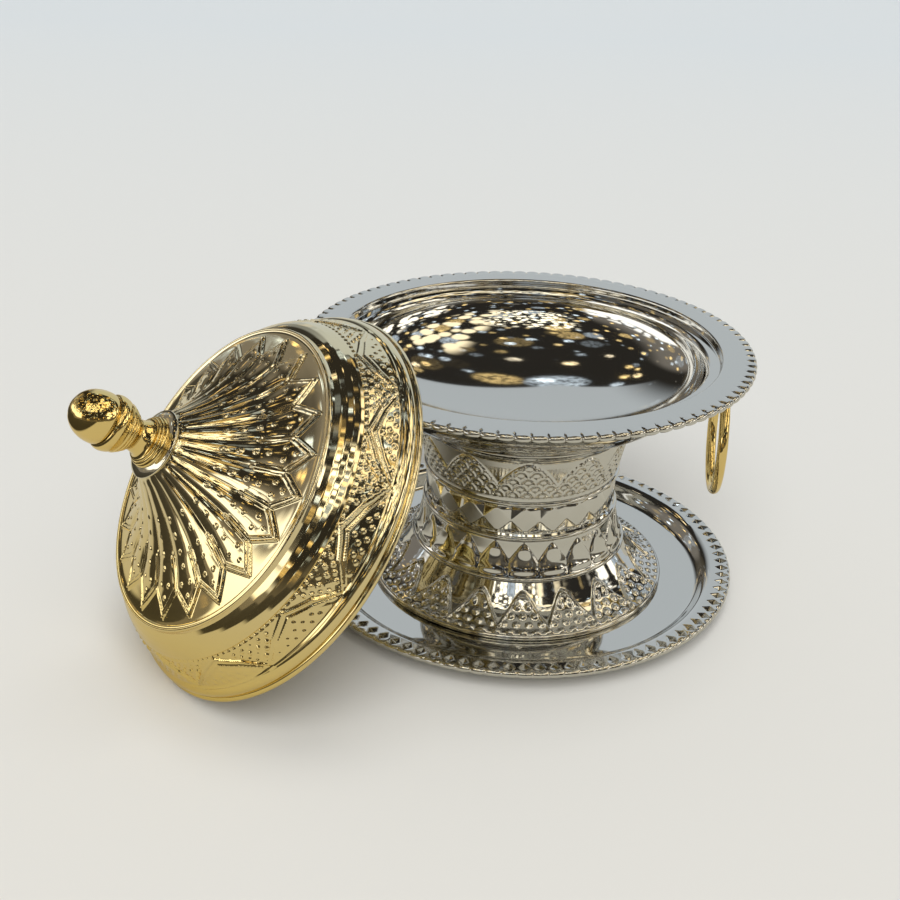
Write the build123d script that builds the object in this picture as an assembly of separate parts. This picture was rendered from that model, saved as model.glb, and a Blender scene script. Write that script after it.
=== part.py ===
from build123d import *
import math
import os

# A lidded date bowl on a pedestal, bolted to its tray, in millimetres.
# The origin is on the bowl's axis at table level. The lid stands beside the bowl, leaning on its flange.

# Sheet metal and fits
sheet = 0.8
seat_gap = 0.15
bore_clearance = 0.1

# Tray
tray_radius = 126.9
tray_rim_height = 13.0
tray_floor_height = 4.6
tray_floor_radius = 109.0
tray_rim_width = 12.4
stand_ring_radius = 76.0
stand_ring_width = 5.0
boss_radius = 15.0
boss_height = 9.6

# Pedestal, with heights above the tray's floor
foot_radius = 86.4
hem_height = 2.4
foot_bead_height = 23.6
foot_bead_radius = 62.6
waist_bead_height = 46.6
waist_bead_radius = 57.0
waist_radius = 54.9
neck_bead_height = 68.2
neck_bead_radius = 57.0
seat_radius = 64.3
pedestal_height = 102.2
bead_pitch = 3.0
bead_bulge = 1.1
foot_hollow = 4.6
column_hollow = 1.5
waist_facets = 22
facet_turn = 4.4

# Bowl, whose ledge and flange lie outside its round body
bowl_radius = 98.5
bowl_depth = 43.0
bowl_floor_radius = 18.0
ledge_width = 7.9
recess_depth = 4.5
flange_width = 18.6
edge_roll = 1.5
recess_radius = bowl_radius + ledge_width
flange_radius = recess_radius + flange_width

# Pressed notches of both rims
rim_notches = 96
notch_width = 3.0
notch_depth = 0.5
notch_length = 4.4

# Tie stud with its washers and nut
stud_radius = 3.0
stud_flange_radius = 13.0
stud_flange_thickness = 2.0
washer_radius = 9.0
washer_thickness = 1.4
spring_washer_radius = 5.6
spring_washer_thickness = 1.2
nut_across_flats = 10.0
nut_height = 4.0
stud_end = 1.0

# Ring handles and their lugs
handle_azimuth = -2.6
handle_inset = 15.4
handle_ring_radius = 30.5
handle_wire_radius = 2.8
eye_clearance = 0.45
eye_neck = 13.3
lug_wall = 2.4
lug_thickness = 4.0
lug_base_length = 14.0
lug_base_thickness = 1.0
lug_base_inner_inset = 17.4
lug_base_outer_inset = 5.0

# Lid, with heights along its own axis from the middle of its rim bead
lid_clearance = 0.5
rim_bead_radius = 1.8
shoulder_width = 27.3
cone_base_height = 37.0
cone_top_radius = 14.5
cone_top_height = 74.3
cone_hollow = 6.9
flutes = 22
flute_turn = 0.5
crease_width = 1.0
crease_depth = 0.35
crease_start = 0.05
crease_end = 0.76
lid_lean = 52.2
lid_azimuth = 215.04
lean_gap = 0.3
lid_step = 2.0
table_gap = 0.1

# Finial on its stud
finial_stud_radius = 2.5
finial_washer_radius = 17.8
finial_washer_thickness = 1.2
finial_base_height = 8.0
finial_cup_height = 20.0
acorn_height = 18.5
acorn_thread_depth = 10.0
lid_washer_radius = 8.0
lid_washer_thickness = 1.2
lid_nut_across_flats = 8.0
lid_nut_height = 4.0


def bead(start, end, bulge):
    """Three points of an arc from start to end that bulges to the right of the way it goes."""
    length = math.dist(start, end)
    across = ((end[1] - start[1]) / length, -(end[0] - start[0]) / length)
    middle = ((start[0] + end[0]) / 2, (start[1] + end[1]) / 2)
    return start, (middle[0] + bulge * across[0], middle[1] + bulge * across[1]), end


def arc_centre(start, middle, end):
    """The centre of the circle through three points."""
    (ax, ay), (bx, by), (cx, cy) = start, middle, end
    d = 2 * (ax * (by - cy) + bx * (cy - ay) + cx * (ay - by))
    a, b, c = ax * ax + ay * ay, bx * bx + by * by, cx * cx + cy * cy
    x = (a * (by - cy) + b * (cy - ay) + c * (ay - by)) / d
    y = (a * (cx - bx) + b * (ax - cx) + c * (bx - ax)) / d
    return x, y


def line_band(start, end):
    """A straight strip of sheet, cut across, about its mid-line."""
    length = math.dist(start, end)
    x = (end[1] - start[1]) / length * sheet / 2
    y = (start[0] - end[0]) / length * sheet / 2
    return make_face(Polyline((start[0] + x, start[1] + y), (end[0] + x, end[1] + y),
                              (end[0] - x, end[1] - y), (start[0] - x, start[1] - y), close=True))


def arc_band(start, middle, end):
    """A round strip of sheet, cut across, about the mid-line through three points."""
    x, y = arc_centre(start, middle, end)
    radius = math.dist(start, (x, y))
    outer, inner = (
        [(x + (px - x) * scale, y + (py - y) * scale) for px, py in (start, middle, end)]
        for scale in (1 + sheet / 2 / radius, 1 - sheet / 2 / radius))
    return make_face([ThreePointArc(*outer), Line(outer[2], inner[2]),
                      ThreePointArc(*inner), Line(inner[0], outer[0])])


def sheet_section(strips):
    """The cut face of a sheet from the points of its strips, straight with two and round with three."""
    section = Sketch()
    for points in strips:
        section += line_band(*points) if len(points) == 2 else arc_band(*points)
    for points in strips[1:]:
        section += Pos(points[0]) * Circle(sheet / 2)
    return section


def chain(*points):
    """Straight strips from each point to the next."""
    return list(zip(points, points[1:]))


def spin(section):
    """Turns a half profile, drawn with radius across and height up, about the Z axis."""
    return revolve(Plane.XZ * section, Axis.Z, 360)


def turned(strips):
    """A turned solid from the outline of its half profile, in strips as a sheet section has them."""
    edges = [Line(*points) if len(points) == 2 else ThreePointArc(*points) for points in strips]
    return spin(make_face(edges))


def disc(radius, height):
    """A round bar or disc that stands on the plane z = 0."""
    return extrude(Circle(radius), height)


def ring(inner, outer, height):
    """A flat ring that stands on the plane z = 0."""
    return extrude(Circle(outer) - Circle(inner), height)


def hexagon_nut(across_flats, bore, height):
    """A hexagon nut that stands on the plane z = 0."""
    return extrude(RegularPolygon(across_flats / 2, 6, major_radius=False) - Circle(bore), height)


def rim_notch_cutter(radius, top):
    """Vee tools round a rolled rim, each sloping down and out across its edge."""
    half = notch_width / 2
    slope = math.degrees(math.atan2(edge_roll, notch_length))
    profile = make_face(Polyline((-half, notch_depth), (half, notch_depth), (0, -notch_depth), close=True))
    tool = extrude(Plane.YZ * profile, notch_length + edge_roll)
    start = Pos(radius - notch_length, 0, top) * Rot(0, slope, 0) * tool
    return [Rot(0, 0, 360 * i / rim_notches) * start for i in range(rim_notches)]


def rolled_edge(radius, top):
    """The turned-down edge of a rim whose upper face is at the height top."""
    mid = top - sheet / 2
    crown = radius - sheet / 2
    return (crown - edge_roll, mid), (crown, mid - edge_roll), (crown - edge_roll, mid - 2 * edge_roll)


def make_tray():
    floor = tray_floor_height - sheet / 2
    rim = tray_rim_height - sheet / 2
    rim_start = tray_radius - tray_rim_width
    ring_in = stand_ring_radius - stand_ring_width / 2
    ring_out = stand_ring_radius + stand_ring_width / 2
    wall = boss_height - sheet / 2 - floor
    floor_end = (tray_floor_radius, floor)
    cove_top = (rim_start, rim - edge_roll)
    rim_top = (rim_start + edge_roll, rim)
    strips = chain(
        (stud_radius + bore_clearance, boss_height - sheet / 2),
        (boss_radius, boss_height - sheet / 2),
        (boss_radius + wall, floor),
        (ring_in - floor, floor),
        (ring_in, sheet / 2),
        (ring_out, sheet / 2),
        (ring_out + floor, floor),
        floor_end,
    )
    strips.append(bead(floor_end, cove_top, edge_roll / 2))
    strips.append(bead(cove_top, rim_top, -edge_roll / 3))
    strips.append((rim_top, (tray_radius - sheet / 2 - edge_roll, rim)))
    strips.append(rolled_edge(tray_radius, tray_rim_height))
    return spin(sheet_section(strips)) - rim_notch_cutter(tray_radius, tray_rim_height)


def beads_up(radius, height):
    """Start and end of a raised bead at a height above the tray's floor."""
    z = tray_floor_height + height
    inner = radius - sheet / 2 - bead_bulge
    return (inner, z - bead_pitch / 2), (inner, z + bead_pitch / 2)


def facet_band(low, high):
    """The many-sided band of sheet round the waist, between two heights."""
    outer = waist_radius - sheet / 4
    sides = RegularPolygon(outer, waist_facets, major_radius=False, rotation=facet_turn)
    hollow = RegularPolygon(outer - sheet, waist_facets, major_radius=False, rotation=facet_turn)
    return Pos(0, 0, low) * extrude(sides - hollow, high - low)


def make_pedestal():
    bottom = tray_floor_height + seat_gap + sheet / 2
    hem = foot_radius - sheet / 2 - bead_bulge
    hem_top = (hem, bottom + hem_height)
    foot_low, foot_high = beads_up(foot_bead_radius, foot_bead_height)
    waist_low, waist_high = beads_up(waist_bead_radius, waist_bead_height)
    neck_low, neck_high = beads_up(neck_bead_radius, neck_bead_height)
    waist = waist_radius - sheet / 2
    step = waist_bead_radius - bead_bulge - waist_radius
    seat = (seat_radius, tray_floor_height + pedestal_height - 2 * bead_bulge - sheet)
    seat_top = (seat_radius - bead_bulge, seat[1] + 2 * bead_bulge)
    facet_low = (waist, waist_high[1] + step)
    facet_high = (waist, neck_low[1] - step)
    lower = [
        bead((hem, bottom), hem_top, bead_bulge),
        bead(hem_top, foot_low, -foot_hollow),
        bead(foot_low, foot_high, bead_bulge),
        bead(foot_high, waist_low, -column_hollow),
        bead(waist_low, waist_high, bead_bulge),
        (waist_high, facet_low),
    ]
    upper = [
        (facet_high, neck_low),
        bead(neck_low, neck_high, bead_bulge),
        bead(neck_high, seat, -column_hollow),
        bead(seat, seat_top, bead_bulge),
    ]
    band = facet_band(facet_low[1] - sheet / 2, facet_high[1] + sheet / 2)
    return spin(sheet_section(lower)) + band + spin(sheet_section(upper))


def bowl_centre_height():
    """Height of the ellipse centre of the bowl's wall, from where the bowl sits on the pedestal."""
    a = bowl_radius + sheet / 2
    b = bowl_depth + sheet / 2
    seat_z = tray_floor_height + pedestal_height + seat_gap
    return seat_z + b * math.sqrt(1 - (seat_radius / a) ** 2)


def flange_top():
    return bowl_centre_height() + edge_roll + sheet / 2 + recess_depth


def bowl_floor_underside():
    share = bowl_floor_radius / (bowl_radius + sheet / 2)
    return bowl_centre_height() - (bowl_depth + sheet / 2) * math.sqrt(1 - share * share)


def bowl_body():
    """The cut face of the bowl's flat floor and the wall beyond it, a quarter of an ellipse."""
    arcs = []
    for offset in (sheet / 2, -sheet / 2):
        a, b = bowl_radius + offset, bowl_depth + offset
        start = -math.degrees(math.acos(bowl_floor_radius / a))
        arcs.append(EllipticalCenterArc((0, bowl_centre_height()), a, b, start, arc_size=-start))
    under, over = arcs[0] @ 0, arcs[1] @ 0
    centre_under, centre_over = (0, under.Y), (0, over.Y)
    return make_face([arcs[0], Line(arcs[0] @ 1, arcs[1] @ 1), arcs[1], Line(over, centre_over),
                      Line(centre_over, centre_under), Line(centre_under, under)])


def make_bowl():
    centre = bowl_centre_height()
    ledge = centre + edge_roll
    flange = flange_top() - sheet / 2
    strips = chain(
        (bowl_radius, centre - sheet),
        (bowl_radius, centre),
        (bowl_radius + edge_roll, ledge),
        (recess_radius - edge_roll / 2, ledge),
        (recess_radius, flange - edge_roll / 2),
        (recess_radius + edge_roll / 2, flange),
        (flange_radius - sheet / 2 - edge_roll, flange),
    )
    strips.append(rolled_edge(flange_radius, flange_top()))
    return spin(bowl_body() + sheet_section(strips)) - rim_notch_cutter(flange_radius, flange_top())


def tie_stack():
    """Heights of the undersides of the tray's washer, the spring washer, the nut and the stud."""
    washer = boss_height - sheet - washer_thickness
    spring = washer - spring_washer_thickness
    nut = spring - nut_height
    return washer, spring, nut, nut - stud_end


def make_tie_stud():
    top = bowl_floor_underside()
    bottom = tie_stack()[3]
    flange = Pos(0, 0, top - stud_flange_thickness) * disc(stud_flange_radius, stud_flange_thickness)
    shank = Pos(0, 0, bottom) * disc(stud_radius, top - stud_flange_thickness / 2 - bottom)
    return flange + shank


def make_tray_washer():
    return Pos(0, 0, tie_stack()[0]) * ring(stud_radius + bore_clearance, washer_radius, washer_thickness)


def make_spring_washer():
    body = ring(stud_radius + bore_clearance, spring_washer_radius, spring_washer_thickness)
    gap = Pos(spring_washer_radius, 0, 0) * Box(2 * spring_washer_radius, 1, 4 * spring_washer_thickness)
    return Pos(0, 0, tie_stack()[1]) * (body - gap)


def make_tie_nut():
    return Pos(0, 0, tie_stack()[2]) * hexagon_nut(nut_across_flats, stud_radius + bore_clearance, nut_height)


def eye_drop():
    """Depth of the eye's middle below the top of the lug's base, which touches the flange."""
    return lug_base_thickness + eye_neck + handle_wire_radius + eye_clearance


def handle_frame(azimuth):
    """The lug's own frame: X outwards, Y along the eye's bore, Z up, with the eye at the origin."""
    return Rot(0, 0, azimuth) * Pos(flange_radius - handle_inset, 0, flange_top() - sheet - eye_drop())


def make_lug(azimuth):
    eye_bore = handle_wire_radius + eye_clearance
    eye_outer = eye_bore + lug_wall
    base_low = eye_drop() - lug_base_thickness
    inner = handle_inset - lug_base_inner_inset
    outer = handle_inset - lug_base_outer_inset
    top_corners = (outer - lug_wall, base_low), (inner, base_low)
    neck = make_face(Polyline((-eye_outer, 0), (eye_outer, 0), *top_corners, close=True))
    plate = extrude(Plane.XZ * (Circle(eye_outer) + neck - Circle(eye_bore)), lug_thickness / 2, both=True)
    base = Pos((inner + outer) / 2, 0, base_low + lug_base_thickness / 2) * Box(
        outer - inner, lug_base_length, lug_base_thickness)
    return handle_frame(azimuth) * (plate + base)


def make_ring_handle(azimuth):
    hoop = Rot(0, 90, 0) * Torus(handle_ring_radius, handle_wire_radius)
    return handle_frame(azimuth) * Pos(0, 0, -handle_ring_radius) * hoop


def lid_rim_radius():
    """Outer radius of the lid's rim bead, which drops into the bowl's recess."""
    return recess_radius - lid_clearance


def cone_arc():
    """The mid-line of the lid's hollow cone, from its flat top out to its foot."""
    top = (cone_top_radius, cone_top_height)
    return bead(top, (lid_rim_radius() - shoulder_width, cone_base_height), cone_hollow)


def crease_cutters():
    """Tools for the creases between the flutes, which follow the cone and leave part of its wall."""
    arc = cone_arc()
    x, y = arc_centre(*arc)
    start, end = (math.atan2(point[1] - y, point[0] - x) for point in (arc[0], arc[2]))
    angles = [start + (end - start) * share
              for share in (crease_start, (crease_start + crease_end) / 2, crease_end)]
    face_radius = math.dist(arc[0], (x, y)) - sheet / 2
    deep, clear = (
        [(x + radius * math.cos(angle), y + radius * math.sin(angle)) for angle in angles]
        for radius in (face_radius + crease_depth, face_radius - sheet))
    section = make_face([ThreePointArc(*deep), Line(deep[2], clear[2]),
                         ThreePointArc(*clear), Line(clear[0], deep[0])])
    tool = extrude(Plane.XZ * section, crease_width / 2, both=True)
    return [Rot(0, 0, flute_turn + 360 * i / flutes) * tool for i in range(flutes)]


def make_lid_shell():
    rim = lid_rim_radius() - rim_bead_radius
    bead_middle = rim_bead_radius - sheet / 2
    cone_top, _, cone_foot = cone_arc()
    disc_edge = (cone_foot[0] + 3, cone_base_height - 0.4)
    step_top = (disc_edge[0] + 0.4, disc_edge[1] - 2)
    step_foot = (rim - 11.6, step_top[1] - 11)
    band_top = (step_foot[0] + 0.4, step_foot[1] - 0.8)
    band_foot = (rim - 3.2, 8.4)
    torus_top = (rim - 2.4, 7.6)
    torus_foot = (rim, bead_middle)
    strips = [
        ((finial_stud_radius + bore_clearance, cone_top_height), cone_top),
        cone_arc(),
        bead(cone_foot, disc_edge, -1.2),
        (disc_edge, step_top),
        bead(step_top, step_foot, -1.0),
        (step_foot, band_top),
        bead(band_top, band_foot, -1.2),
        (band_foot, torus_top),
        bead(torus_top, torus_foot, -1.4),
        bead(torus_foot, (rim, -bead_middle), -bead_middle),
    ]
    return spin(sheet_section(strips)) - crease_cutters()


def washer_top():
    return cone_top_height + sheet / 2 + finial_washer_thickness


def make_finial_washer():
    bottom = cone_top_height + sheet / 2
    disc = ring(finial_stud_radius + bore_clearance, finial_washer_radius, finial_washer_thickness)
    edge = fillet(disc.edges().filter_by(GeomType.CIRCLE).sort_by(SortBy.RADIUS)[-2:], 0.4)
    return Pos(0, 0, bottom) * edge


def make_finial_base():
    bore = finial_stud_radius + bore_clearance
    h = finial_base_height
    rings = [bead((11.2, 0), (10.4, 0.45 * h), 0.9), bead((10.4, 0.45 * h), (9.6, 0.75 * h), 0.7)]
    faces = chain((9.6, 0.75 * h), (8.6, h), (bore, h), (bore, 0), (11.2, 0))
    return Pos(0, 0, washer_top()) * turned(rings + faces)


def make_finial_cup():
    bore = finial_stud_radius + bore_clearance
    h = finial_cup_height
    neck = bead((8.5, 0), (9.6, 0.28 * h), -0.5)
    rings = [bead((9.6, 0.28 * h), (10.8, 0.42 * h), 0.6), bead((10.8, 0.42 * h), (12.0, 0.6 * h), 0.7),
             bead((12.0, 0.6 * h), (12.4, h), 1.1)]
    faces = chain((12.4, h), (bore, h), (bore, 0), (8.5, 0))
    return Pos(0, 0, washer_top() + finial_base_height) * turned([neck] + rings + faces)


def make_acorn_knob():
    bore = finial_stud_radius + bore_clearance
    h = acorn_height
    rounds = [((11.2, 0), (11.8, 0.3 * h), (10.7, 0.55 * h)), ((10.7, 0.55 * h), (7.2, 0.86 * h), (0.6, h))]
    faces = chain((0.6, h), (0, h), (0, 0), (11.2, 0))
    knob = turned(rounds + faces) - disc(bore, acorn_thread_depth)
    return Pos(0, 0, washer_top() + finial_base_height + finial_cup_height) * knob


def lid_nut_foot():
    return cone_top_height - sheet / 2 - lid_washer_thickness - lid_nut_height


def make_finial_stud():
    bottom = lid_nut_foot() - stud_end
    top = washer_top() + finial_base_height + finial_cup_height + acorn_thread_depth - stud_end
    return Pos(0, 0, bottom) * disc(finial_stud_radius, top - bottom)


def make_lid_washer():
    bottom = cone_top_height - sheet / 2 - lid_washer_thickness
    bore = finial_stud_radius + bore_clearance
    return Pos(0, 0, bottom) * ring(bore, lid_washer_radius, lid_washer_thickness)


def make_lid_nut():
    nut = hexagon_nut(lid_nut_across_flats, finial_stud_radius + bore_clearance, lid_nut_height)
    return Pos(0, 0, lid_nut_foot()) * nut


def rim_gap(distance):
    """Gap between the leaning lid's rim bead and the flange's rolled edge, for a distance between centres."""
    rim = lid_rim_radius() - rim_bead_radius
    lean = math.radians(lid_lean)
    edge_radius = flange_radius - edge_roll
    edge_height = flange_top() - edge_roll
    nearest = math.inf
    for step in range(720):
        turn = math.radians(step / 2)
        along = distance - rim * math.sin(turn) * math.cos(lean)
        radius = math.hypot(along, rim * math.cos(turn))
        height = lid_height() + rim * math.sin(turn) * math.sin(lean)
        nearest = min(nearest, math.hypot(radius - edge_radius, height - edge_height))
    return nearest - rim_bead_radius - edge_roll


def lid_height():
    """Height of the rim's centre when the lid stands on the table on one point of its rim."""
    rim = lid_rim_radius() - rim_bead_radius
    return rim * math.sin(math.radians(lid_lean)) + rim_bead_radius + table_gap


def lid_distance():
    """Distance of the leaning rim's centre from the bowl's axis, where the two rims first meet."""
    near = flange_radius + lid_rim_radius()
    while rim_gap(near) > lean_gap and near > lid_step:
        near -= lid_step
    far = near + lid_step
    for _ in range(40):
        middle = (near + far) / 2
        if rim_gap(middle) < lean_gap:
            near = middle
        else:
            far = middle
    return far


def lean(shape):
    """Stands a piece of the lid, built about the Z axis, in its place against the flange."""
    return Rot(0, 0, lid_azimuth) * Pos(lid_distance(), 0, lid_height()) * Rot(0, lid_lean, 0) * shape


def make_parts():
    opposite = handle_azimuth + 180
    return {
        "tray": make_tray(),
        "pedestal": make_pedestal(),
        "bowl": make_bowl(),
        "tie_stud": make_tie_stud(),
        "tray_washer": make_tray_washer(),
        "spring_washer": make_spring_washer(),
        "tie_nut": make_tie_nut(),
        "right_lug": make_lug(handle_azimuth),
        "left_lug": make_lug(opposite),
        "right_ring_handle": make_ring_handle(handle_azimuth),
        "left_ring_handle": make_ring_handle(opposite),
        "lid_shell": lean(make_lid_shell()),
        "finial_washer": lean(make_finial_washer()),
        "finial_base": lean(make_finial_base()),
        "finial_cup": lean(make_finial_cup()),
        "acorn_knob": lean(make_acorn_knob()),
        "finial_stud": lean(make_finial_stud()),
        "lid_washer": lean(make_lid_washer()),
        "lid_nut": lean(make_lid_nut()),
    }


os.makedirs("parts", exist_ok=True)
for name, solid in make_parts().items():
    export_step(solid, f"parts/{name}.step")
print("flange top", round(flange_top(), 3), "eye", round(flange_top() - sheet - eye_drop(), 3))
print("lid distance", round(lid_distance(), 3), "height", round(lid_height(), 3))
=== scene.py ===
import math

import bpy
import numpy as np
from mathutils import Matrix


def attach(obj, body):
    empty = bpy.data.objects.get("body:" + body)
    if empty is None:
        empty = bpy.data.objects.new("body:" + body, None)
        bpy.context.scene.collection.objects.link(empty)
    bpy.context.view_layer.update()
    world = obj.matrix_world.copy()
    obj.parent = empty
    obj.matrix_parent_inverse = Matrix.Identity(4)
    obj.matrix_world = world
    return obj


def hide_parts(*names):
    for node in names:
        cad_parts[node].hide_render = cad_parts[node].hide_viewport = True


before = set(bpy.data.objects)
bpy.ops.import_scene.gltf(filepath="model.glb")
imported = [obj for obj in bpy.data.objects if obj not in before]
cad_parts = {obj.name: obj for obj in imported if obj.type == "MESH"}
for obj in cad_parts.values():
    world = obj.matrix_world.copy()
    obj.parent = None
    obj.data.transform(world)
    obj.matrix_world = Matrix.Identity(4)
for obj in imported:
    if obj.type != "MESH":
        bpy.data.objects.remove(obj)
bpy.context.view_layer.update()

MM = 0.001
TAU = 2 * math.pi
ON_AXIS = 1e-6

# Sizes shared with the solid model, in millimetres
SHEET = 0.8
TRAY_FLOOR = 4.6
TRAY_RADIUS = 126.9
TRAY_TOP = 13.0
FLANGE_RADIUS = 125.0
FLANGE_TOP = 146.33
RECESS_RADIUS = 106.4
BOWL_RADIUS = 98.5
BOWL_DEPTH = 43.0
BOWL_CENTRE = 139.93
LID_RIM = 104.1
LID_LEAN = 52.2
LID_AZIMUTH = 215.04
LID_DISTANCE = 156.15
LID_HEIGHT = 84.16
FINIAL_FOOT = 75.9

# How often each ornament repeats, and the direction in degrees of a motif's middle
RIM_NOTCHES = 96
ARCHES = 11
FACETS = 22
FOOT_FANS = 18
PETALS = 22
SIDE_MOTIFS = 12
SIDE_BEADS = 156
FRONT_TURN = 274.4
PETAL_TURN = 179.5
MOTIF_TURN = 136.5

# Points round a turned surface
EDGE_POINTS = 1536
PLAIN_POINTS = 384
FOOT_POINTS = 1188
COLUMN_POINTS = 792
PEDESTAL_BACK_POINTS = 198
SIDE_POINTS = 1200
SIDE_BACK_POINTS = 300
CONE_POINTS = 1056
CONE_BACK_POINTS = 264
FINIAL_POINTS = 144

# Heights between which an ornament lies: on the pedestal over the table, on the lid over its rim
ARCH_BAND = (76, 102)
LOZENGE_BAND = (54.5, 70.5)
TONGUE_BAND = (29.8, 49.5)
FAN_BAND = (8, 27)
SIDE_BAND = (8.2, 24.6)

# Radii of the cone between which its petals lie, and from which on they have an outline
PETAL_REACH = (15.5, 79)
PETAL_OUTLINE = 42

# The longest step of a profile: an arc's in radians, a curve's in millimetres
ARC_TURN = 0.12
CURVE_STEP = 1.0

# The camera, fitted to the bowl's circles: metres and radians
CAMERA_PLACE = (0, -0.66142, 0.40034)
CAMERA_TURN = (-0.0631, 0.4553, 0.0314)
CAMERA_LENS = 50.69


# Shaders

class Tree:
    """The shader nodes of a material or world. A value is a number, a colour or a node's output."""

    def __init__(self, owner):
        owner.use_nodes = True
        self.nodes, self.links = owner.node_tree.nodes, owner.node_tree.links

    def join(self, socket, value):
        if isinstance(value, bpy.types.NodeSocket):
            self.links.new(value, socket)
        elif socket.type == "RGBA":
            socket.default_value = (*value, 1)
        else:
            socket.default_value = value

    def node(self, kind, inputs=None, **settings):
        node = self.nodes.new("ShaderNode" + kind)
        for name, setting in settings.items():
            setattr(node, name, setting)
        for key, value in (inputs or {}).items():
            self.join(node.inputs[key], value)
        return node

    def surface(self, inputs):
        """Sets inputs of a material's own shader."""
        for key, value in inputs.items():
            self.join(self.nodes["Principled BSDF"].inputs[key], value)

    def calc(self, operation, *values):
        return self.node("Math", dict(enumerate(values)), operation=operation).outputs[0]

    def times(self, first, *others):
        for other in others:
            first = self.calc("MULTIPLY", first, other)
        return first

    def between(self, value, low, high, way="SMOOTHSTEP"):
        """0 at low and 1 at high, and level beyond them. Low may be the larger one."""
        inputs = {"Value": value, "From Min": low, "From Max": high}
        return self.node("MapRange", inputs, interpolation_type=way).outputs["Result"]

    def blend(self, share, a, b):
        """Colour a where the share is 0 and colour b where it is 1."""
        return self.node("Mix", {0: share, 6: a, 7: b}, data_type="RGBA").outputs[2]


def plated(name, colour, roughness, upper=None):
    """A metal. With an upper colour, its colour runs to that one over the height of the lid, a painted
    reflection tone.
    """
    material = bpy.data.materials.new(name)
    tree = Tree(material)
    if upper:
        # Painted reflection tone: deep gold low on the lid, paler towards its top
        place = tree.node("TexCoord").outputs["Object"]
        height = tree.node("SeparateXYZ", {0: place}).outputs["Z"]
        colour = tree.blend(tree.between(height, 0.01, 0.14, "LINEAR"), colour, upper)
    tree.surface({"Base Color": colour, "Metallic": 1, "Roughness": roughness})
    return material


SILVER = plated("silver_plate", (0.64, 0.64, 0.625), 0.055)
GOLD = plated("gold_plate", (0.86, 0.66, 0.27), 0.06)
# The lid's gold is painted deep low down and pale at its top, a painted reflection tone
LID_GOLD = plated("lid_gold", (0.80, 0.60, 0.17), 0.06, upper=(0.84, 0.75, 0.52))
PALE_GOLD = plated("pale_gold", (0.76, 0.71, 0.56), 0.05)
STEEL = plated("steel", (0.6, 0.6, 0.6), 0.3)


# Profiles: points of a half section as (radius, height)

def arc(start, end, bulge):
    """Points after start on an arc to end that bulges to the right of the way it goes."""
    start, end = np.array(start, float), np.array(end, float)
    chord = np.linalg.norm(end - start)
    radius = (chord * chord / 4 + bulge * bulge) / (2 * abs(bulge))
    along = (end - start) / chord
    right = np.array([along[1], -along[0]])
    centre = (start + end) / 2 + right * (bulge - math.copysign(radius, bulge))
    angle0 = math.atan2(*(start - centre)[::-1])
    sweep = math.atan2(*(end - centre)[::-1]) - angle0
    if bulge > 0 and sweep < 0:
        sweep += TAU
    if bulge < 0 and sweep > 0:
        sweep -= TAU
    steps = max(2, math.ceil(abs(sweep) / ARC_TURN))
    angles = angle0 + sweep * np.arange(1, steps + 1) / steps
    return [centre + radius * np.array([math.cos(t), math.sin(t)]) for t in angles]


def curve(points):
    """Points after the first on a smooth curve through all of them."""
    points = [np.array(p, float) for p in points]
    ends = [2 * points[0] - points[1], *points, 2 * points[-1] - points[-2]]
    out = []
    for a, b, c, d in zip(ends, ends[1:], ends[2:], ends[3:]):
        steps = max(2, math.ceil(np.linalg.norm(c - b) / CURVE_STEP))
        for t in np.arange(1, steps + 1) / steps:
            out.append(b + t * (c - a) / 2 + t * t * (a - 2.5 * b + 2 * c - d / 2)
                       + t ** 3 * (1.5 * (b - c) + (d - a) / 2))
    return out


def profile(start, *moves):
    """A profile from moves: a point, an arc as (point, bulge) or a list of points for a curve."""
    path = [np.array(start, float)]
    for move in moves:
        if isinstance(move, list):
            path += curve([path[-1], *move])
        elif isinstance(move[0], tuple):
            path += arc(path[-1], *move)
        else:
            path.append(np.array(move, float))
    return np.array(path)


def refine(path, step):
    """The path with its long stretches divided: step gives the longest stretch near a point."""
    out = [path[0]]
    for a, b in zip(path, path[1:]):
        parts = max(1, math.ceil(np.linalg.norm(b - a) / step(*((a + b) / 2))))
        out += [a + (b - a) * i / parts for i in range(1, parts + 1)]
    return np.array(out)


def normals(path):
    """Unit vectors to the right of the path's way, averaged over a point's two sides."""
    side = np.diff(path, axis=0)
    side /= np.linalg.norm(side, axis=1)[:, None]
    along = np.concatenate([side[:1], side[:-1] + side[1:], side[-1:]])
    along /= np.linalg.norm(along, axis=1)[:, None]
    return np.stack([along[:, 1], -along[:, 0]], axis=1)


# Meshes

def strip(a, na, b, nb):
    """Faces between two closed rows of na and nb points, where one count divides the other."""
    if na == nb:
        i = np.arange(na)
        j = (i + 1) % na
        return np.stack([a + i, a + j, b + j, b + i], axis=1).tolist()
    if na < nb:
        return [face[::-1] for face in strip(b, nb, a, na)]
    if nb == 1:
        i = np.arange(na)
        return np.stack([a + i, a + (i + 1) % na, np.full(na, b)], axis=1).tolist()
    ratio, half = na // nb, na // nb // 2
    faces = []
    for j in range(nb):
        near, far = b + j, b + (j + 1) % nb
        for m in range(ratio):
            first, second = a + ratio * j + m, a + (ratio * j + m + 1) % na
            faces.append([first, second, near if m < half else far])
            if m == half - 1:
                faces.append([second, far, near])
    return faces


def lathe(rows, place, closed):
    """Vertices and faces of turned rows. A row is (point count, radii, heights)."""
    vertices, faces, starts = [], [], []
    total = 0
    for count, radii, heights in rows:
        turn = np.arange(count) * TAU / count
        vertices.append(place(np.broadcast_to(radii, count), turn, np.broadcast_to(heights, count)))
        starts.append((total, count))
        total += count
    pairs = list(zip(starts, starts[1:]))
    if closed:
        pairs.append((starts[-1], starts[0]))
    for (a, na), (b, nb) in pairs:
        if na > 1 or nb > 1:
            faces += strip(a, na, b, nb)
    return np.concatenate(vertices), faces


def upright(radii, turn, heights):
    """Places points round the bowl's own axis."""
    return np.stack([radii * np.cos(turn), radii * np.sin(turn), heights], axis=1)


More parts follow.
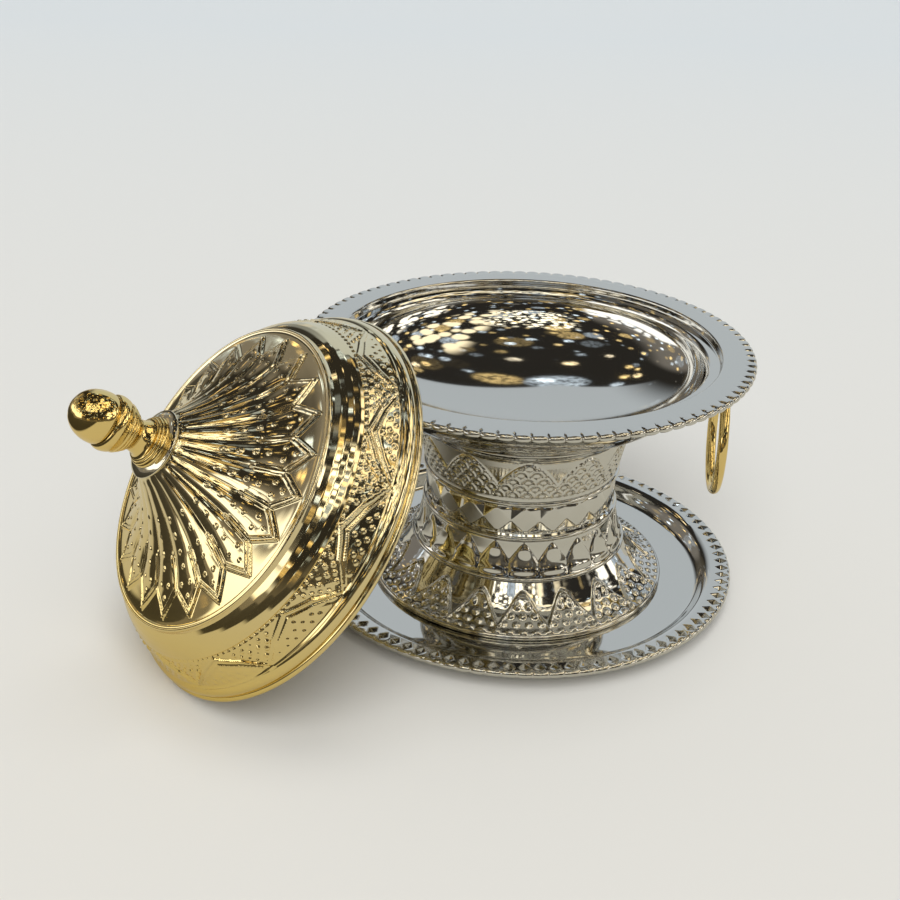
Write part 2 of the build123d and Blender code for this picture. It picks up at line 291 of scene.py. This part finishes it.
def add_piece(name, shape, material, body, replaced=(), sharp=35):
    vertices, faces = shape
    mesh = bpy.data.meshes.new(name)
    mesh.from_pydata(vertices * MM, [], faces)
    mesh.materials.append(material)
    mesh.polygons.foreach_set("use_smooth", [True] * len(mesh.polygons))
    mesh.set_sharp_from_angle(angle=math.radians(sharp))
    mesh.update()
    piece = bpy.data.objects.new(name, mesh)
    bpy.context.scene.collection.objects.link(piece)
    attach(piece, body)
    if replaced:
        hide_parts(*replaced)


def sheet(path, counts, relief, place, back_every=3, back_count=EDGE_POINTS):
    """A closed shell: its face along the path, with relief, and its coarser back behind that."""
    side = normals(path)

    def row(i, count, depth):
        (r, z), (nr, nz) = path[i], side[i]
        if r < ON_AXIS:
            return 1, 0.0, z - depth
        out = relief(np.arange(count) * TAU / count, r, z) - depth
        return count, r + nr * out, z + nz * out

    back = sorted(set(range(0, len(path), back_every)) | {len(path) - 1}, reverse=True)
    face_rows = [row(i, counts[i], 0) for i in range(len(path))]
    back_rows = [row(i, min(counts[i], back_count), SHEET) for i in back]
    return lathe(face_rows + back_rows, place, True)


# Relief: heights in millimetres over a surface, for the points of one row

def bump(distance, width):
    """1 on a line or a point, falling smoothly to 0 at the width."""
    t = np.clip(1 - (distance / width) ** 2, 0, 1)
    return t * t


def ringed_dot(distance, height, width, hole):
    """A round dot with a small dimple in its top."""
    return height * bump(distance, width) - 0.35 * bump(distance, hole)


def smooth_step(low, high, value):
    t = np.clip((value - low) / (high - low), 0, 1)
    return t * t * (3 - 2 * t)


def segment(u, v, a, b):
    """Distance of points (u, v) from the segment a to b."""
    du, dv = b[0] - a[0], b[1] - a[1]
    t = np.clip(((u - a[0]) * du + (v - a[1]) * dv) / (du * du + dv * dv), 0, 1)
    return np.hypot(u - a[0] - t * du, v - a[1] - t * dv)


def polyline(u, v, start, bend, end):
    """Distance of points (u, v) from a line with one bend."""
    return np.minimum(segment(u, v, start, bend), segment(u, v, bend, end))


def repeat(turn, count, centre):
    """Angle from the middle of the nearest of count equal motifs, one of them at centre degrees."""
    pitch = TAU / count
    return (turn - math.radians(centre) + pitch / 2) % pitch - pitch / 2


# Tray and bowl

def notched_edge(turn, r, radius, length, depth):
    """Notches across a rolled rim with round humps between them."""
    reach = smooth_step(radius - length, radius - length + 1.5, r)
    across = repeat(turn, RIM_NOTCHES, 0) * radius
    pitch = TAU * radius / RIM_NOTCHES
    hump = np.sqrt(np.clip(1 - (2 * across / pitch) ** 2, 0, 1))
    return reach * depth * (hump - 1)


def make_bowl():
    top, edge = FLANGE_TOP, FLANGE_RADIUS
    inner_a, inner_b = BOWL_RADIUS - SHEET / 2, BOWL_DEPTH - SHEET / 2
    wall = [(inner_a * math.sin(t), BOWL_CENTRE - inner_b * math.cos(t))
            for t in np.linspace(math.radians(88), math.radians(1), 80)]
    ledge = BOWL_CENTRE + 1.5 + SHEET / 2
    path = profile(
        (edge - 1.9, top - 3.8), ((edge - 1.9, top), 1.9), (RECESS_RADIUS + 1.6, top),
        ((RECESS_RADIUS - 0.1, top - 1.6), 0.5), (RECESS_RADIUS - 0.6, ledge + 1.0),
        ((RECESS_RADIUS - 1.6, ledge), -0.3), (BOWL_RADIUS + 1.8, ledge), (wall[0], 0.4), *wall[1:],
        (0, wall[-1][1]))
    notched = edge - 6
    path = refine(path, lambda r, z: 0.7 if r > notched else 2.5)
    counts = [EDGE_POINTS if r > notched else PLAIN_POINTS for r, z in path]

    def relief(turn, r, z):
        return notched_edge(turn, r, edge, 5.2, 1.1) if r > notched else 0

    add_piece("bowl_basin", sheet(path, counts, relief, upright), SILVER, "stand", ["bowl"])


def make_tray():
    top, edge, floor = TRAY_TOP, TRAY_RADIUS, TRAY_FLOOR
    path = profile(
        (edge - 1.9, top - 3.8), ((edge - 1.9, top), 1.9), (117.6, top),
        [(116.6, top - 0.1), (114.8, top - 0.8), (113.0, top - 1.8), (111.3, top - 3.4),
         (109.8, floor + 3.2), (108.2, floor + 1.5), (106.2, floor + 0.4), (104, floor)],
        (82.9, floor), (78.7, 0.8), (73.3, 0.8), (69.1, floor),
        (20, floor), (15.3, 9.6), (3.1, 9.6))
    dented = edge - 10
    path = refine(path, lambda r, z: 0.6 if r > dented else 4)
    counts = [EDGE_POINTS if r > dented else PLAIN_POINTS for r, z in path]

    def relief(turn, r, z):
        if r < dented:
            return 0
        across = repeat(turn, RIM_NOTCHES, 0) * r
        lozenge = np.abs(across) / 3.1 + abs(r - (edge - 4.9)) / 4.2
        return -1.2 * np.clip(1 - lozenge, 0, 1) + notched_edge(turn, r, edge, 2.5, 0.5)

    add_piece("tray_plate", sheet(path, counts, relief, upright), SILVER, "stand", ["tray"])


# Pedestal

def staggered(u, row, size):
    """Distance along a row from its nearest motif, with every other row moved by half a pitch."""
    return (u - (row % 2) * size + size) % (2 * size) - size


def scales(u, v, rows, size, pitch, low):
    """Overlapping fish scales with a ringed dot in each: rows of arcs above the height low."""
    height = np.zeros_like(u)
    covered = np.zeros_like(u, bool)
    for row in range(rows):
        distance = np.hypot(staggered(u, row, size), (v - low - row * pitch) * size / pitch)
        inside = (distance < size) & (v > low + row * pitch - 0.3) & ~covered
        rim = 0.5 * bump(distance - size * 0.84, size * 0.24)
        height = np.where(inside, rim + ringed_dot(distance, 0.6, size * 0.4, size * 0.16), height)
        covered |= inside
    return height


def domes(u, v, rows, size, pitch, low):
    """Rows of round studs above the height low."""
    height = np.zeros_like(u)
    for row in range(rows):
        spot = np.hypot(staggered(u, row, size), v - low - row * pitch) / (size * 0.92)
        height = np.maximum(height, bump(spot, 0.85))
    return height


def arch(u, half_width, shoulder, apex):
    """Height of a pointed arch's outline over the distance u from its middle."""
    t = np.clip(np.abs(u) / half_width, 0, 1)
    return shoulder + (apex - shoulder) * (1 - t ** 1.7)


def column_relief(turn, r, z):
    """Arches full of scales, a band of lozenges and a row of tongues, from the top down."""
    out = np.zeros_like(turn)
    across = np.abs(repeat(turn, FACETS, FRONT_TURN)) / (math.pi / FACETS)
    if ARCH_BAND[0] < z < ARCH_BAND[1]:
        u = repeat(turn, ARCHES, FRONT_TURN) * r
        half = math.pi / ARCHES * r
        outline = arch(u, half, shoulder=84, apex=99)
        inside = smooth_step(-0.6, 0.6, outline - z) * smooth_step(76.4, 77.4, z)
        out += 0.5 * bump(outline - z, 1.1)
        out += inside * (0.25 + scales(u, z, rows=6, size=half / 4, pitch=4.6, low=77.0))
    if LOZENGE_BAND[0] < z < LOZENGE_BAND[1]:
        middle = 62
        off = abs(z - middle)
        out += 0.2 - 1.9 * np.clip(across + off / 8 - 1, 0, 1) - 0.25 * smooth_step(6.6, 7.6, off)
    if TONGUE_BAND[0] < z < TONGUE_BAND[1]:
        root, tip = TONGUE_BAND
        width = np.clip((49 - z) / 12, 0, 1) ** 0.8
        tongue = np.clip(1 - (across / max(width, 0.02)) ** 2, 0, 1)
        out += 1.3 * np.sqrt(tongue) * smooth_step(tip, 44, z) * smooth_step(root, 33, z)
    return out


def foot_relief(turn, r, z):
    """Pointed fans full of studs, with smooth metal between their tips."""
    out = np.zeros_like(turn)
    if FAN_BAND[0] < z < FAN_BAND[1]:
        u = repeat(turn, FOOT_FANS, FRONT_TURN) * r
        half = math.pi / FOOT_FANS * r
        slope = (86 - r) * 1.25
        outline = arch(u, half, shoulder=6, apex=26)
        inset = (outline - slope) / np.hypot(1, 2.2 * u / half)
        inside = smooth_step(-0.6, 0.6, inset) * smooth_step(0.6, 1.6, slope)
        studs = domes(u * 78 / r, slope, rows=5, size=3.4, pitch=5.6, low=3.2)
        out += 0.9 * bump(inset, 1.5)
        out += inside * (0.2 + 0.95 * studs)
    return out


def make_pedestal():
    foot = profile(
        (84.9, 4.75), ((84.9, 7.95), 1.5),
        [(79.2, 10.2), (71.9, 14.6), (67.4, 19.4), (63.4, 24.4), (61.6, 26.7)],
        ((61.6, 29.7), 1.2))
    foot = refine(foot, lambda r, z: 0.55)
    shape = sheet(foot, [FOOT_POINTS] * len(foot), foot_relief, upright, 6, PEDESTAL_BACK_POINTS)
    add_piece("pedestal_foot", shape, SILVER, "stand", ["pedestal"])
    column = profile(
        (61.6, 29.7), [(59.0, 33.5), (57.4, 38), (56.3, 43), (55.8, 49.0)], (55.6, 49.7), ((55.6, 52.7), 1.2),
        (54.9, 53.6), (54.9, 70.4), (55.6, 71.3), ((55.6, 74.3), 1.2),
        [(55.6, 76.6), (56.6, 82), (58.1, 89), (59.6, 96), (60.8, 101), (62.6, 103.6), (64.0, 104.9)],
        ((63.2, 106.6), 1.2))
    column = refine(column, lambda r, z: 0.6 if z < 98 else 1.5)
    shape = sheet(column, [COLUMN_POINTS] * len(column), column_relief, upright, 6, PEDESTAL_BACK_POINTS)
    add_piece("pedestal_column", shape, SILVER, "stand")


# Lid, in its own frame: heights along its leaning axis from the rim's centre, and turns round it

lean, azimuth = math.radians(LID_LEAN), math.radians(LID_AZIMUTH)
outward = np.array([math.cos(azimuth), math.sin(azimuth), 0])
LID_AXIS = math.sin(lean) * outward + [0, 0, math.cos(lean)]
LID_LEVEL = np.array([math.sin(azimuth), -math.cos(azimuth), 0])
LID_UPHILL = -math.cos(lean) * outward + [0, 0, math.sin(lean)]
LID_FOOT = LID_DISTANCE * outward + [0, 0, LID_HEIGHT]


def leaning(radii, turn, heights):
    """Places points round the lid's axis."""
    round_part = np.outer(np.cos(turn), LID_LEVEL) + np.outer(np.sin(turn), LID_UPHILL)
    return LID_FOOT + radii[:, None] * round_part + heights[:, None] * LID_AXIS


def petal_relief(turn, r, z):
    """Flutes up the cone that end in pointed petals with a double outline and ringed dots."""
    out = np.zeros_like(turn)
    start, end = PETAL_REACH
    if r < start or r > end:
        return out
    across = repeat(turn, PETALS, PETAL_TURN)
    u = across * r
    half = math.pi / PETALS
    flute = smooth_step(start, 20, r) * smooth_step(66, 50, r)
    out += flute * min(r / 40, 1.0) * 1.1 * (1 - (across / half) ** 2)
    if r > PETAL_OUTLINE:
        valley, tip = 63.5, 76.0
        corner, inner_corner = (half * valley, valley), (half * valley - 1.6, valley - 1.6)
        outer = polyline(np.abs(u), r, (0.0, tip), corner, (half * 46, 46.0))
        inner = polyline(np.abs(u), r, (0.0, tip - 3.2), inner_corner, (half * 48 - 1.4, 48.0))
        out += 0.75 * bump(outer, 0.9) + 0.45 * bump(inner, 0.75)
        width = half * min(r, valley) * np.clip((tip - r) / (tip - valley), 0, 1)
        pillow = np.sqrt(np.clip(1 - (u / max(width, 0.1)) ** 2, 0, 1))
        out += 1.1 * pillow * smooth_step(48, 62, r)
    for du, dr in ((0, 33), (0, 39.5), (0, 46.5), (0, 52.8), (-3.1, 60.5), (3.1, 60.5), (0, 66.2)):
        out += ringed_dot(np.hypot(u - du, r - dr), 0.7, 1.35, 0.6)
    return out


def side_relief(turn, r, z):
    """Zigzags in double lines with fields of ringed dots, under a row of small beads."""
    out = np.zeros_like(turn)
    foot, crest = SIDE_BAND
    if z < foot or z > crest:
        return out
    radius = 96.5
    u = np.abs(repeat(turn, SIDE_MOTIFS, MOTIF_TURN)) * radius
    half = math.pi / SIDE_MOTIFS * radius
    v = (24.4 - z) * 1.1
    top, bottom = 1.5, 15.8
    zig = polyline(u, v, (0.0, top), (half * 0.56, 7.4), (half, bottom))
    zag = polyline(u, v, (0.0, top + 3.4), (half * 0.5, 9.6), (half * 0.86, bottom - 0.4))
    out += 0.9 * bump(zig, 1.1) + 0.55 * bump(zag, 0.9)
    out += 0.3 * smooth_step(0.6, 5.0, zig) * smooth_step(0.2, 1.6, v)
    dots = [(k * 5.6, 14.6) for k in range(4)] + [(2.8, 11.4), (8.4, 12.0), (0, 8.4)]
    for row, number in enumerate((5, 4, 3, 2, 1)):
        for k in range(number):
            dots.append((half - abs((k - (number - 1) / 2) * 5.8), 3.6 + row * 2.6))
    for du, dv in dots:
        out += ringed_dot(np.hypot(u - du, v - dv), 0.6, 1.45, 0.65)
    out += 0.55 * bump(np.hypot(repeat(turn, SIDE_BEADS, 0) * 94, v - 0.7), 1.1)
    return out - 0.6 * smooth_step(foot, 9.4, z)


def make_lid():
    side = profile(
        (LID_RIM, -1.8), ((LID_RIM, 1.8), 1.8), ((LID_RIM - 2.2, 7.8), 1.2), (LID_RIM - 2.9, 8.7),
        ((LID_RIM - 10.9, 23.4), 0.2), (LID_RIM - 11.4, 24.0), ((82.3, 34.6), 1.1), (81.9, 36.4),
        ((80.6, 37.6), 0.5))
    side = refine(side, lambda r, z: 0.5 if 8.4 < z < SIDE_BAND[1] else 0.7)
    shape = sheet(side, [SIDE_POINTS] * len(side), side_relief, leaning, 4, SIDE_BACK_POINTS)
    add_piece("lid_side", shape, LID_GOLD, "lid", ["lid_shell"])
    cone = profile(
        (80.6, 37.6), ((78.6, 37.2), 0.2),
        [(76.5, 37.5), (72, 38.6), (64, 41.0), (54, 45.0), (44, 50.4), (34, 57.4), (25, 65.2),
         (18.5, 71.6), (16.2, 74.3)],
        (14.5, 74.7), (3, 74.7))
    cone = refine(cone, lambda r, z: 0.6 if r > PETAL_OUTLINE else 1.0)
    counts = [CONE_POINTS if r > 15 else CONE_BACK_POINTS for r, z in cone]
    shape = sheet(cone, counts, petal_relief, leaning, 3, CONE_BACK_POINTS)
    add_piece("lid_cone", shape, LID_GOLD, "lid")


def make_turned(name, node, slot, material, *outline):
    """A turned piece of the finial: its outline from axis to axis, with heights over the finial's foot."""
    path = profile(*outline) + (0, FINIAL_FOOT)
    rows = [(1 if r < ON_AXIS else FINIAL_POINTS, r, z) for r, z in path]
    add_piece(name, lathe(rows, leaning, False), material, "lid", [node], sharp=50)


def make_finial():
    make_turned("finial_collar", "finial_washer", "silver_plate", PALE_GOLD,
                (0, -1.2), (17.2, -1.2), ((17.6, 0.1), 0.5), [(15.8, 1.0), (13.2, 1.5)],
                (11.5, 1.6), (0, 1.6))
    make_turned("finial_rings", "finial_base", "gold_plate", GOLD,
                (0, 0), (12.4, 0), ((12.5, 3.0), 0.9), ((11.6, 4.6), 0.6), ((10.6, 5.8), 0.4),
                [(9.4, 6.6), (8.7, 8)], (0, 8))
    make_turned("finial_neck", "finial_cup", "gold_plate", GOLD,
                (0, 8), (8.7, 8), [(8.1, 10.5), (8.1, 12.5), (9.0, 14.2)],
                ((10.4, 16.2), 0.5), ((11.6, 18.0), 0.5), ((12.6, 20.2), 0.5),
                [(13.6, 22.2), (14.1, 25), (13.7, 27.0), (12.9, 28)], (0, 28))
    make_turned("finial_acorn", "acorn_knob", "gold_plate", GOLD,
                (0, 28), (12.3, 28),
                [(12.8, 29.6), (12.9, 32), (12.4, 35.6), (10.8, 39.6), (7.9, 43.1), (4.3, 45.3)],
                [(2, 46.0), (0, 46.1)])


def dress_nodes():
    """Gives the solid model's own pieces their materials and smooth shading."""
    dress = (
        (SILVER, ("right_lug", "left_lug", "finial_washer")),
        (GOLD, ("right_ring_handle", "left_ring_handle", "finial_base", "finial_cup", "acorn_knob")),
        (STEEL, ("tie_stud", "tray_washer", "spring_washer", "tie_nut",
                 "finial_stud", "lid_washer", "lid_nut")),
    )
    for material, names in dress:
        for name in names:
            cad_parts[name].data.materials[0] = material
    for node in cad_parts.values():
        node.data.polygons.foreach_set("use_smooth", [True] * len(node.data.polygons))
        node.data.set_sharp_from_angle(angle=math.radians(35))


# Floor, room, lamps and camera

def make_floor():
    """A pale floor. Mirrors see it in a darker, warmer tone, and nearly black at the left of a slanted line:
    both are painted reflections.
    """
    bpy.ops.mesh.primitive_plane_add(size=24)
    floor = bpy.context.object
    floor.name = "floor"
    material = bpy.data.materials.new("floor")
    tree = Tree(material)
    place = tree.node("NewGeometry").outputs["Position"]
    x, y, z = tree.node("SeparateXYZ", {0: place}).outputs
    mirrored = tree.node("LightPath").outputs["Is Glossy Ray"]
    # Marks where mirrors see the floor nearly black, a painted dark reflection at the left
    beyond = tree.between(tree.calc("MULTIPLY_ADD", y, 0.41, x), -0.42, -0.46, "LINEAR")
    near, far = (0.76, 0.745, 0.70), (0.68, 0.72, 0.74)
    colour = tree.blend(tree.between(y, -0.3, 2.2, "LINEAR"), near, far)
    # Painted reflection: mirrors see the floor in this darker, warmer tone
    colour = tree.blend(mirrored, colour, (0.61, 0.575, 0.47))
    # Painted dark reflection: only mirrors see the floor black here
    colour = tree.blend(tree.times(mirrored, beyond), colour, (0.05, 0.045, 0.035))
    tree.surface({"Base Color": colour, "Roughness": 0.9, "Specular IOR Level": 0.1})
    floor.data.materials.append(material)


def make_world():
    """A room for mirrors, by direction: x to the right, y to the back and z up, each from -1 to 1.

    It is dark, greyer at the left, with spots of gold and silver light in two sizes, four brighter
    patches and a pale sweep at the back. The camera sees a flat tone instead, and all else a dome.
    """
    world = bpy.data.worlds.new("room")
    bpy.context.scene.world = world
    tree = Tree(world)
    tree.nodes.clear()
    calc, times, between, blend = tree.calc, tree.times, tree.between, tree.blend
    way = tree.node("TexCoord").outputs["Generated"]
    x, y, z = tree.node("SeparateXYZ", {0: way}).outputs
    stretched = tree.node("VectorMath", {0: way, 1: (1, 1.2, 1.5)}, operation="MULTIPLY").outputs[0]

    def cells(scale):
        return tree.node("TexVoronoi", {"Scale": scale, "Vector": stretched}).outputs

    left = times(between(x, -0.55, -0.64), between(z, 0.72, 0.5))
    room = blend(between(z, -0.1, 0.3), (0.16, 0.14, 0.105), (0.03, 0.027, 0.022))
    room = blend(left, room, (0.24, 0.215, 0.18))

    glitter = tree.node("TexNoise", {"Scale": 60, "Detail": 1, "Vector": stretched}).outputs[0]
    for scale, low, high, power in ((3.4, 0.42, 0.33, 1.3), (9.0, 0.38, 0.2, 3.6)):
        spots = cells(scale)
        red, green, blue = tree.node("SeparateColor", {0: spots["Color"]}).outputs
        gold, silver = power * np.array([(0.95, 0.68, 0.28), (0.66, 0.76, 0.84)])
        speckled = times(between(spots["Distance"], low, high), between(green, 0.35, 0.9),
                         between(glitter, 0.3, 0.62), between(z, 0.0, 0.2))
        room = blend(speckled, room, blend(between(red, 0.45, 0.55), gold, silver))

    dots = between(cells(15)["Distance"], 0.46, 0.36)
    panes = between(cells(6)["Distance"], 0.56, 0.42)
    front = times(between(y, -0.2, -0.3), between(z, 0.6, 0.7), dots,
                  between(calc("ABSOLUTE", x), 0.45, 0.3))
    right = times(between(x, 0.78, 0.84), between(z, 0.1, 0.16), between(z, 0.5, 0.4), panes)
    above = times(between(x, 0.26, 0.36), between(z, 0.58, 0.66), between(y, 0.5, 0.35), panes)
    low_left = times(left, calc("MAXIMUM", panes, between(z, 0.36, 0.28)),
                     between(calc("MULTIPLY_ADD", y, 0.9, z), 0.57, 0.5),
                     between(z, 0.08, 0.13), between(z, 0.5, 0.42))
    aside = times(calc("ABSOLUTE", calc("ADD", x, 0.08)), 0.68)
    under_edge = calc("SUBTRACT", calc("SUBTRACT", times(y, 1.08), aside), z)
    sweep = times(between(under_edge, -0.012, 0.012), between(x, -0.46, -0.2))
    for share, tone in ((front, (3.2, 2.9, 2.2)), (right, (2.4, 2.2, 1.8)), (above, (1.9, 1.6, 1.05)),
                        (low_left, (1.9, 1.85, 1.7)), (sweep, (0.615, 0.66, 0.68))):
        room = blend(share, room, tone)

    def light(colour):
        return tree.node("Background", {"Color": colour}).outputs[0]

    path = tree.node("LightPath").outputs
    dome, backdrop = light((0.36, 0.36, 0.355)), light((0.68, 0.72, 0.75))
    seen = tree.node("MixShader", {"Fac": path["Is Glossy Ray"], 1: dome, 2: light(room)}).outputs[0]
    seen = tree.node("MixShader", {"Fac": path["Is Camera Ray"], 1: seen, 2: backdrop}).outputs[0]
    tree.node("OutputWorld", {"Surface": seen})


def add_sun(name, energy, angle, tilt, turn):
    """A soft sun that mirrors don't show. A positive tilt brings its light from the front."""
    lamp = bpy.data.lights.new(name, "SUN")
    lamp.energy = energy
    lamp.angle = math.radians(angle)
    holder = bpy.data.objects.new(name, lamp)
    bpy.context.scene.collection.objects.link(holder)
    holder.rotation_euler = (math.radians(tilt), math.radians(turn), 0)
    holder.visible_glossy = False


def make_camera():
    yaw, pitch, roll = CAMERA_TURN
    forward = np.array([math.sin(yaw) * math.cos(pitch), math.cos(yaw) * math.cos(pitch), -math.sin(pitch)])
    right = np.cross(forward, [0, 0, 1])
    right /= np.linalg.norm(right)
    up = np.cross(right, forward)
    side = math.cos(roll) * right + math.sin(roll) * up
    top = -math.sin(roll) * right + math.cos(roll) * up
    camera = bpy.data.cameras.new("camera")
    camera.lens = CAMERA_LENS
    camera.sensor_width = 36
    camera.clip_start = 0.01
    holder = bpy.data.objects.new("camera", camera)
    bpy.context.scene.collection.objects.link(holder)
    rows = np.stack([side, top, -forward, CAMERA_PLACE], axis=1).tolist()
    holder.matrix_world = Matrix([*rows, [0, 0, 0, 1]])
    bpy.context.scene.camera = holder


make_bowl()
make_tray()
make_pedestal()
make_lid()
make_finial()
dress_nodes()
make_floor()
make_world()
add_sun("front_sun", energy=2.1, angle=50, tilt=40, turn=6)
add_sun("back_sun", energy=0.5, angle=30, tilt=-7, turn=6)
make_camera()
bpy.context.scene.view_settings.view_transform = "Standard"
